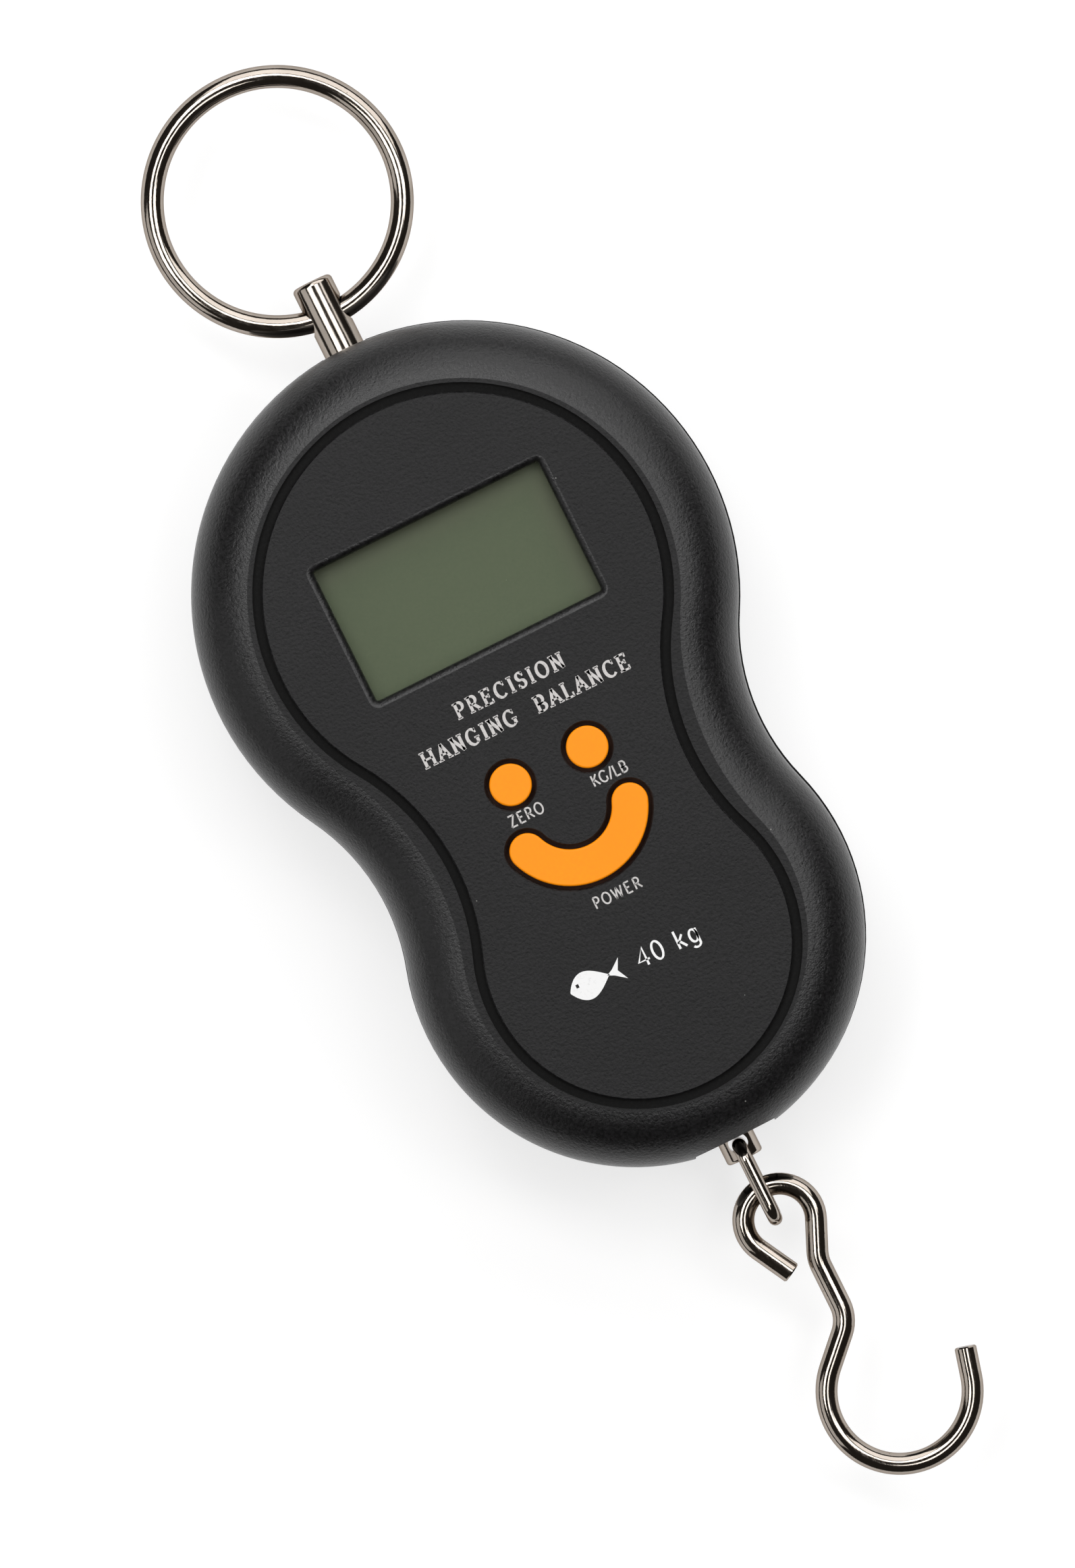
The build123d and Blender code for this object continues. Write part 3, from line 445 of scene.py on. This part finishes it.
by_node = {
    "carry_ring": nickel_plate("nickel_ring", lambda tree: around(tree, ring_centre, 4 * MM)),
    "ring_post": nickel_plate("nickel_post", lambda tree: place(tree, (1, 0.05, 1)), 0.12 * MM),
    "hook_post": nickel_plate("nickel_swivel", lambda tree: place(tree, (1, 0.2, 1)), 0.3 * MM),
    "battery_1": wrapped_cell("cell_sleeve_1", "battery_1", True),
    "battery_2": wrapped_cell("cell_sleeve_2", "battery_2", False),
}
for entry in frame["record"]["subparts"]:
    node = frame["nodes"][entry["node"]]
    node.data.materials.clear()
    node.data.materials.append(by_node.get(entry["node"]) or by_slot[entry["material_slot"]])


# ---- printed marks -------------------------------------------------------------------------
def arc(cx, cy, rx, ry, first, last, steps=18):
    """Points along an ellipse's arc; angles in degrees."""
    turns = [math.radians(first + (last - first) * step / steps) for step in range(steps + 1)]
    return [(cx + rx * math.cos(turn), cy + ry * math.sin(turn)) for turn in turns]


# Each letter is one unit high and has its width, its pen strokes, the places of its serifs, and
# the short ticks that end its arms. Serifs and ticks are drawn in the title style only.
stem = [(0.17, 0), (0.17, 1)]
stem_feet = [(0.17, 0), (0.17, 1)]
upper_bowl = [(0.17, 1), *arc(0.38, 0.74, 0.23, 0.26, 90, -90), (0.17, 0.48)]
lower_bowl = [(0.17, 0.48), *arc(0.40, 0.24, 0.26, 0.24, 90, -90), (0.17, 0)]
GLYPHS = {
    "A": (
        0.84,
        [[(0.10, 0), (0.42, 1)], [(0.42, 1), (0.74, 0)], [(0.21, 0.33), (0.63, 0.33)]],
        [(0.10, 0), (0.74, 0)],
        [],
    ),
    "B": (0.76, [stem, upper_bowl, lower_bowl], stem_feet, []),
    "C": (0.82, [arc(0.44, 0.5, 0.35, 0.5, 42, 318)], [], [[(0.71, 0.70), (0.71, 1)]]),
    "E": (
        0.72,
        [stem, [(0.17, 1), (0.62, 1)], [(0.17, 0.52), (0.50, 0.52)], [(0.17, 0), (0.64, 0)]],
        stem_feet,
        [[(0.62, 1.04), (0.62, 0.78)], [(0.50, 0.66), (0.50, 0.38)], [(0.64, -0.04), (0.64, 0.24)]],
    ),
    "G": (
        0.90,
        [arc(0.44, 0.5, 0.35, 0.5, 42, 310), [(0.69, 0.08), (0.69, 0.42)]],
        [(0.69, 0.42)],
        [[(0.71, 0.70), (0.71, 1)]],
    ),
    "H": (
        0.90,
        [stem, [(0.73, 0), (0.73, 1)], [(0.17, 0.5), (0.73, 0.5)]],
        [*stem_feet, (0.73, 0), (0.73, 1)],
        [],
    ),
    "I": (0.36, [[(0.18, 0), (0.18, 1)]], [(0.18, 0), (0.18, 1)], []),
    "K": (
        0.80,
        [stem, [(0.17, 0.38), (0.62, 1)], [(0.32, 0.58), (0.68, 0)]],
        [*stem_feet, (0.68, 0)],
        [],
    ),
    "L": (0.68, [stem, [(0.17, 0), (0.60, 0)]], stem_feet, [[(0.60, -0.04), (0.60, 0.26)]]),
    "N": (
        0.90,
        [stem, [(0.17, 1), (0.72, 0)], [(0.72, 0), (0.72, 1)]],
        [*stem_feet, (0.72, 1)],
        [],
    ),
    "O": (0.88, [arc(0.44, 0.5, 0.35, 0.5, 0, 360, 30)], [], []),
    "P": (0.72, [stem, upper_bowl], stem_feet, []),
    "R": (0.82, [stem, upper_bowl, [(0.38, 0.48), (0.70, 0)]], [*stem_feet, (0.70, 0)], []),
    "S": (
        0.66,
        [arc(0.32, 0.75, 0.21, 0.25, 30, 270) + arc(0.32, 0.25, 0.23, 0.25, 90, -150)],
        [],
        [[(0.52, 0.72), (0.52, 1)], [(0.10, 0), (0.10, 0.28)]],
    ),
    "W": (
        1.04,
        [
            [(0.06, 1), (0.29, 0)],
            [(0.29, 0), (0.52, 1)],
            [(0.52, 1), (0.75, 0)],
            [(0.75, 0), (0.98, 1)],
        ],
        [],
        [],
    ),
    "Z": (0.72, [[(0.08, 1), (0.60, 1)], [(0.60, 1), (0.08, 0)], [(0.08, 0), (0.62, 0)]], [], []),
    "/": (0.46, [[(0.04, -0.05), (0.40, 1.05)]], [], []),
    "4": (0.74, [[(0.50, 0), (0.50, 1), (0.05, 0.30), (0.68, 0.30)]], [], []),
    "0": (0.68, [arc(0.34, 0.5, 0.26, 0.5, 0, 360, 30)], [], []),
    "k": (0.58, [[(0.10, 0), (0.10, 1)], [(0.10, 0.28), (0.46, 0.68)], [(0.20, 0.40), (0.50, 0)]], [], []),
    "g": (
        0.62,
        [arc(0.29, 0.34, 0.21, 0.34, 0, 360, 30), [(0.50, 0.68), *arc(0.28, -0.10, 0.22, 0.20, 0, -150)]],
        [],
        [],
    ),
    " ": (0.42, [], [], []),
}

nib_angle = math.radians(15)
serif_half_length = 0.17
ink_depth = 0.012 * MM
panel_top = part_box("front_shell")[1][2]


def ribbon(points, thick, thin):
    """Outline quads of a pen stroke: thick where it runs upright, thin where it lies flat."""
    pairs = []
    for index, point in enumerate(points):
        before = points[max(index - 1, 0)]
        after = points[min(index + 1, len(points) - 1)]
        along = Vector((after[0] - before[0], after[1] - before[1])).normalized()
        upright = abs(along.x * math.sin(nib_angle) - along.y * math.cos(nib_angle))
        half = (thin + (thick - thin) * upright) / 2
        side = Vector((-along.y, along.x)) * half
        middle = Vector(point)
        pairs.append((middle + side, middle - side))
    return [(*first, *reversed(second)) for first, second in zip(pairs, pairs[1:])]


def serif(x, y):
    """A short level stroke across the end of an arm."""
    return [(x - serif_half_length, y), (x + serif_half_length, y)]


def word_quads(text, thick, thin, tracking, serifs):
    """Quads of a word one unit high that starts at the origin; tracking goes after each letter."""
    quads = []
    cursor = 0.0
    for letter in text:
        width, strokes, feet, ticks = GLYPHS[letter]
        lines = [(stroke, thick, thin) for stroke in strokes]
        if serifs:
            lines += [(serif(x, y), thin, thin) for x, y in feet]
            lines += [(tick, thin, thin) for tick in ticks]
        for stroke, heavy, light in lines:
            quads += [[(x + cursor, y) for x, y in quad] for quad in ribbon(stroke, heavy, light)]
        cursor += width + tracking
    return quads


def ink_piece(name, quads, material):
    """Thin closed prisms of ink over quads given in metres, half sunk in the panel's face."""
    vertices, faces = [], []
    for quad in quads:
        start = len(vertices)
        vertices += [(x, y, panel_top + ink_depth) for x, y in quad]
        vertices += [(x, y, panel_top - ink_depth) for x, y in quad]
        faces.append([start + corner for corner in range(4)])
        faces.append([start + 7 - corner for corner in range(4)])
        for corner in range(4):
            following = (corner + 1) % 4
            upper_edge = [start + following, start + corner]
            lower_edge = [start + 4 + corner, start + 4 + following]
            faces.append(upper_edge + lower_edge)
    mesh = bpy.data.meshes.new(name)
    mesh.from_pydata(vertices, [], faces)
    mesh.validate()
    mesh.materials.append(material)
    piece = bpy.data.objects.new(name, mesh)
    bpy.context.scene.collection.objects.link(piece)
    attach(piece, "housing")


def print_word(
    name, text, left, base, width, height, material, weights=(0.15, 0.15), serifs=False
):
    """Prints text from left to left + width, its letters standing on the line y = base."""
    letters_width = sum(GLYPHS[letter][0] for letter in text)
    tracking = (width / height - letters_width) / (len(text) - 1)
    quads = word_quads(text, *weights, tracking, serifs)
    sized = [[(left + x * height, base + y * height) for x, y in quad] for quad in quads]
    ink_piece(name, sized, material)


def screen_ink(name, dark, light):
    """Pad-printed ink, a little worn and uneven."""
    material, tree, shader = new_material(name)
    where = place(tree)
    worn = spread(tree, noise(tree, where, 0.35 * MM, 3, 0.6), 0.28, 0.44)
    link(tree, blend_colours(tree, worn, dark, light), shader.inputs["Base Color"])
    link(tree, spread(tree, worn, 0, 1, 0.7, 0.5), shader.inputs["Roughness"])
    return material


GREY_INK = screen_ink("grey_ink", (0.30, 0.29, 0.28), (0.52, 0.50, 0.49))
WHITE_INK = screen_ink("white_ink", (0.70, 0.70, 0.70), (0.80, 0.80, 0.80))
title_style = {"material": GREY_INK, "weights": (0.21, 0.11), "serifs": True}
key_style = {"material": GREY_INK}
capacity_style = {"material": WHITE_INK, "weights": (0.13, 0.10)}
words = (  # name, text, then left, base, width and letter height in millimetres, and style
    ("title_upper", "PRECISION", (-6.2, 6.27, 12.4, 1.6), title_style),
    ("title_lower", "HANGING  BALANCE", (-11.5, 3.2, 23.6, 1.65), title_style),
    ("mark_zero", "ZERO", (-6.26, -6.15, 3.9, 1.17), key_style),
    ("mark_units", "KG/LB", (3.15, -6.15, 4.1, 1.17), key_style),
    ("mark_power", "POWER", (-2.25, -17.5, 5.5, 1.17), key_style),
    ("mark_capacity", "40 kg", (-0.8, -25.0, 7.0, 1.95), capacity_style),
)
for word_name, text, measures, style in words:
    print_word(word_name, text, *(measure * MM for measure in measures), **style)


def fish_quads(left, base, length):
    """Plain fish seen from its side: a lens-shaped body, a forked tail and a blank eye.

    Inside, the fish is one unit long with its snout at the origin.
    """
    steps = 28
    body_share = 0.74
    half_height = 0.25
    bluntness = 0.8  # below 1, the body is fullest nearer the head
    tip_half = 0.012
    eye_at, eye_lift, eye_radius = 0.16, 0.06, 0.035
    tail_root, tail_notch, tail_end, tail_half = body_share - 0.04, 0.90, 1.0, 0.20
    tail_shoulder, shoulder_half = 0.12, 0.06

    def body_half(share):
        full = half_height * math.sin(math.pi * min(share / body_share, 1.0) ** bluntness)
        return max(full, tip_half)

    quads = []
    edges = [index / steps * body_share for index in range(steps + 1)]
    for first, last in zip(edges, edges[1:]):
        tops = (body_half(first), body_half(last))
        middle = (first + last) / 2
        in_eye = eye_radius**2 - (middle - eye_at) ** 2
        belly = [(first, -tops[0]), (last, -tops[1])]
        back = [(last, tops[1]), (first, tops[0])]
        if in_eye > 0:
            half = math.sqrt(in_eye)
            over_eye, under_eye = eye_lift + half, eye_lift - half
            quads.append([(first, over_eye), (last, over_eye), *back])
            quads.append([*belly, (last, under_eye), (first, under_eye)])
        else:
            quads.append([*belly, *back])
    for side in (1, -1):
        shoulder = (tail_root + tail_shoulder, side * shoulder_half)
        corners = [(tail_root, 0), (tail_notch, 0), (tail_end, side * tail_half), shoulder]
        quads.append(corners if side > 0 else corners[::-1])
    return [[(left + x * length, base + y * length) for x, y in quad] for quad in quads]


ink_piece("mark_fish", fish_quads(-8.4 * MM, -24.1 * MM, 6.0 * MM), WHITE_INK)


# ---- floor, camera and lights --------------------------------------------------------------
floor_size = 6
floor_drop = 0.02 * MM  # below the scale's back, so that the two faces don't fight
floor_greys = ((0.34, 0.34, 0.34), (0.37, 0.37, 0.37))
floor_glow = 0.68


def floor():
    """White sheet that glows a little, so that it looks evenly white round the scale."""
    bpy.ops.mesh.primitive_plane_add(size=floor_size, location=(0, 0, -floor_drop))
    plane = bpy.context.object
    plane.name = "studio_floor"
    material, tree, shader = new_material("floor_paper")
    tint = spread(tree, noise(tree, place(tree), 0.3, 2), 0.3, 0.7)
    link(tree, blend_colours(tree, tint, *floor_greys), shader.inputs["Base Color"])
    shader.inputs["Roughness"].default_value = 0.9
    shader.inputs["Emission Color"].default_value = (1, 1, 1, 1)
    shader.inputs["Emission Strength"].default_value = floor_glow
    plane.data.materials.append(material)


roll = math.radians(26.4)  # between the image's upright and +Y
image_up = Vector((math.sin(roll), math.cos(roll), 0))
image_right = Vector((math.cos(roll), -math.sin(roll), 0))
aim = Vector((-2.06 * MM, -3.4 * MM, 14 * MM))
frame_width = 111.6 * MM  # seen across the image at the aim's height
distance = 1.2
lean = (math.radians(0.9), math.radians(0.6))  # the camera stands off towards +X and +Y
sensor = 36  # millimetres, like the lens


def camera():
    """Camera straight over the face, but for its small lean."""
    data = bpy.data.cameras.new("camera")
    data.sensor_fit = "HORIZONTAL"
    data.sensor_width = sensor
    data.lens = sensor * distance / frame_width
    data.clip_end = 20
    eye = bpy.data.objects.new("camera", data)
    bpy.context.scene.collection.objects.link(eye)
    view = Vector((math.tan(lean[0]), math.tan(lean[1]), 1)).normalized()
    up = (image_up - view * image_up.dot(view)).normalized()
    turn = Matrix((up.cross(view), up, view)).transposed().to_4x4()
    eye.matrix_world = Matrix.Translation(aim + view * distance) @ turn
    bpy.context.scene.camera = eye


light_distance = 0.9


def softbox(name, bearing, height, size, brightness):
    """Area light that faces the scale; its power grows with its area.

    Bearing, in degrees, turns from the image's right towards its top, and height, in degrees,
    is above the floor.
    """
    data = bpy.data.lights.new(name, "AREA")
    data.shape = "RECTANGLE"
    data.size, data.size_y = size
    data.energy = brightness * math.pi * size[0] * size[1]
    lamp = bpy.data.objects.new(name, data)
    bpy.context.scene.collection.objects.link(lamp)
    turn, level = math.radians(bearing), math.radians(height)
    level_way = image_right * math.cos(turn) + image_up * math.sin(turn)
    stand = (level_way * math.cos(level) + Vector((0, 0, math.sin(level)))) * light_distance
    lamp.location = stand
    lamp.rotation_euler = (-stand).to_track_quat("-Z", "Y").to_euler()


room_colour = (1, 0.9, 0.8, 1)
room_strength = 0.03


def world():
    """Dim warm surroundings, mainly for the metal to mirror."""
    surroundings = bpy.data.worlds.new("studio")
    surroundings.use_nodes = True
    backdrop = surroundings.node_tree.nodes["Background"]
    backdrop.inputs["Color"].default_value = room_colour
    backdrop.inputs["Strength"].default_value = room_strength
    bpy.context.scene.world = surroundings
    bpy.context.scene.view_settings.view_transform = "Standard"


floor()
camera()
world()
lights = (  # name, bearing, height, size in metres, brightness
    ("top_wide", 78, 38, (1.2, 0.66), 2.2),
    ("top_high", 70, 72, (1.0, 0.22), 4.2),
    ("left_high", 156, 71, (0.7, 0.26), 4.8),
    ("right_high", -20, 75, (0.6, 0.18), 3.8),
    ("left_low", 206, 30, (0.8, 0.50), 0.9),
)
for light in lights:
    softbox(*light)
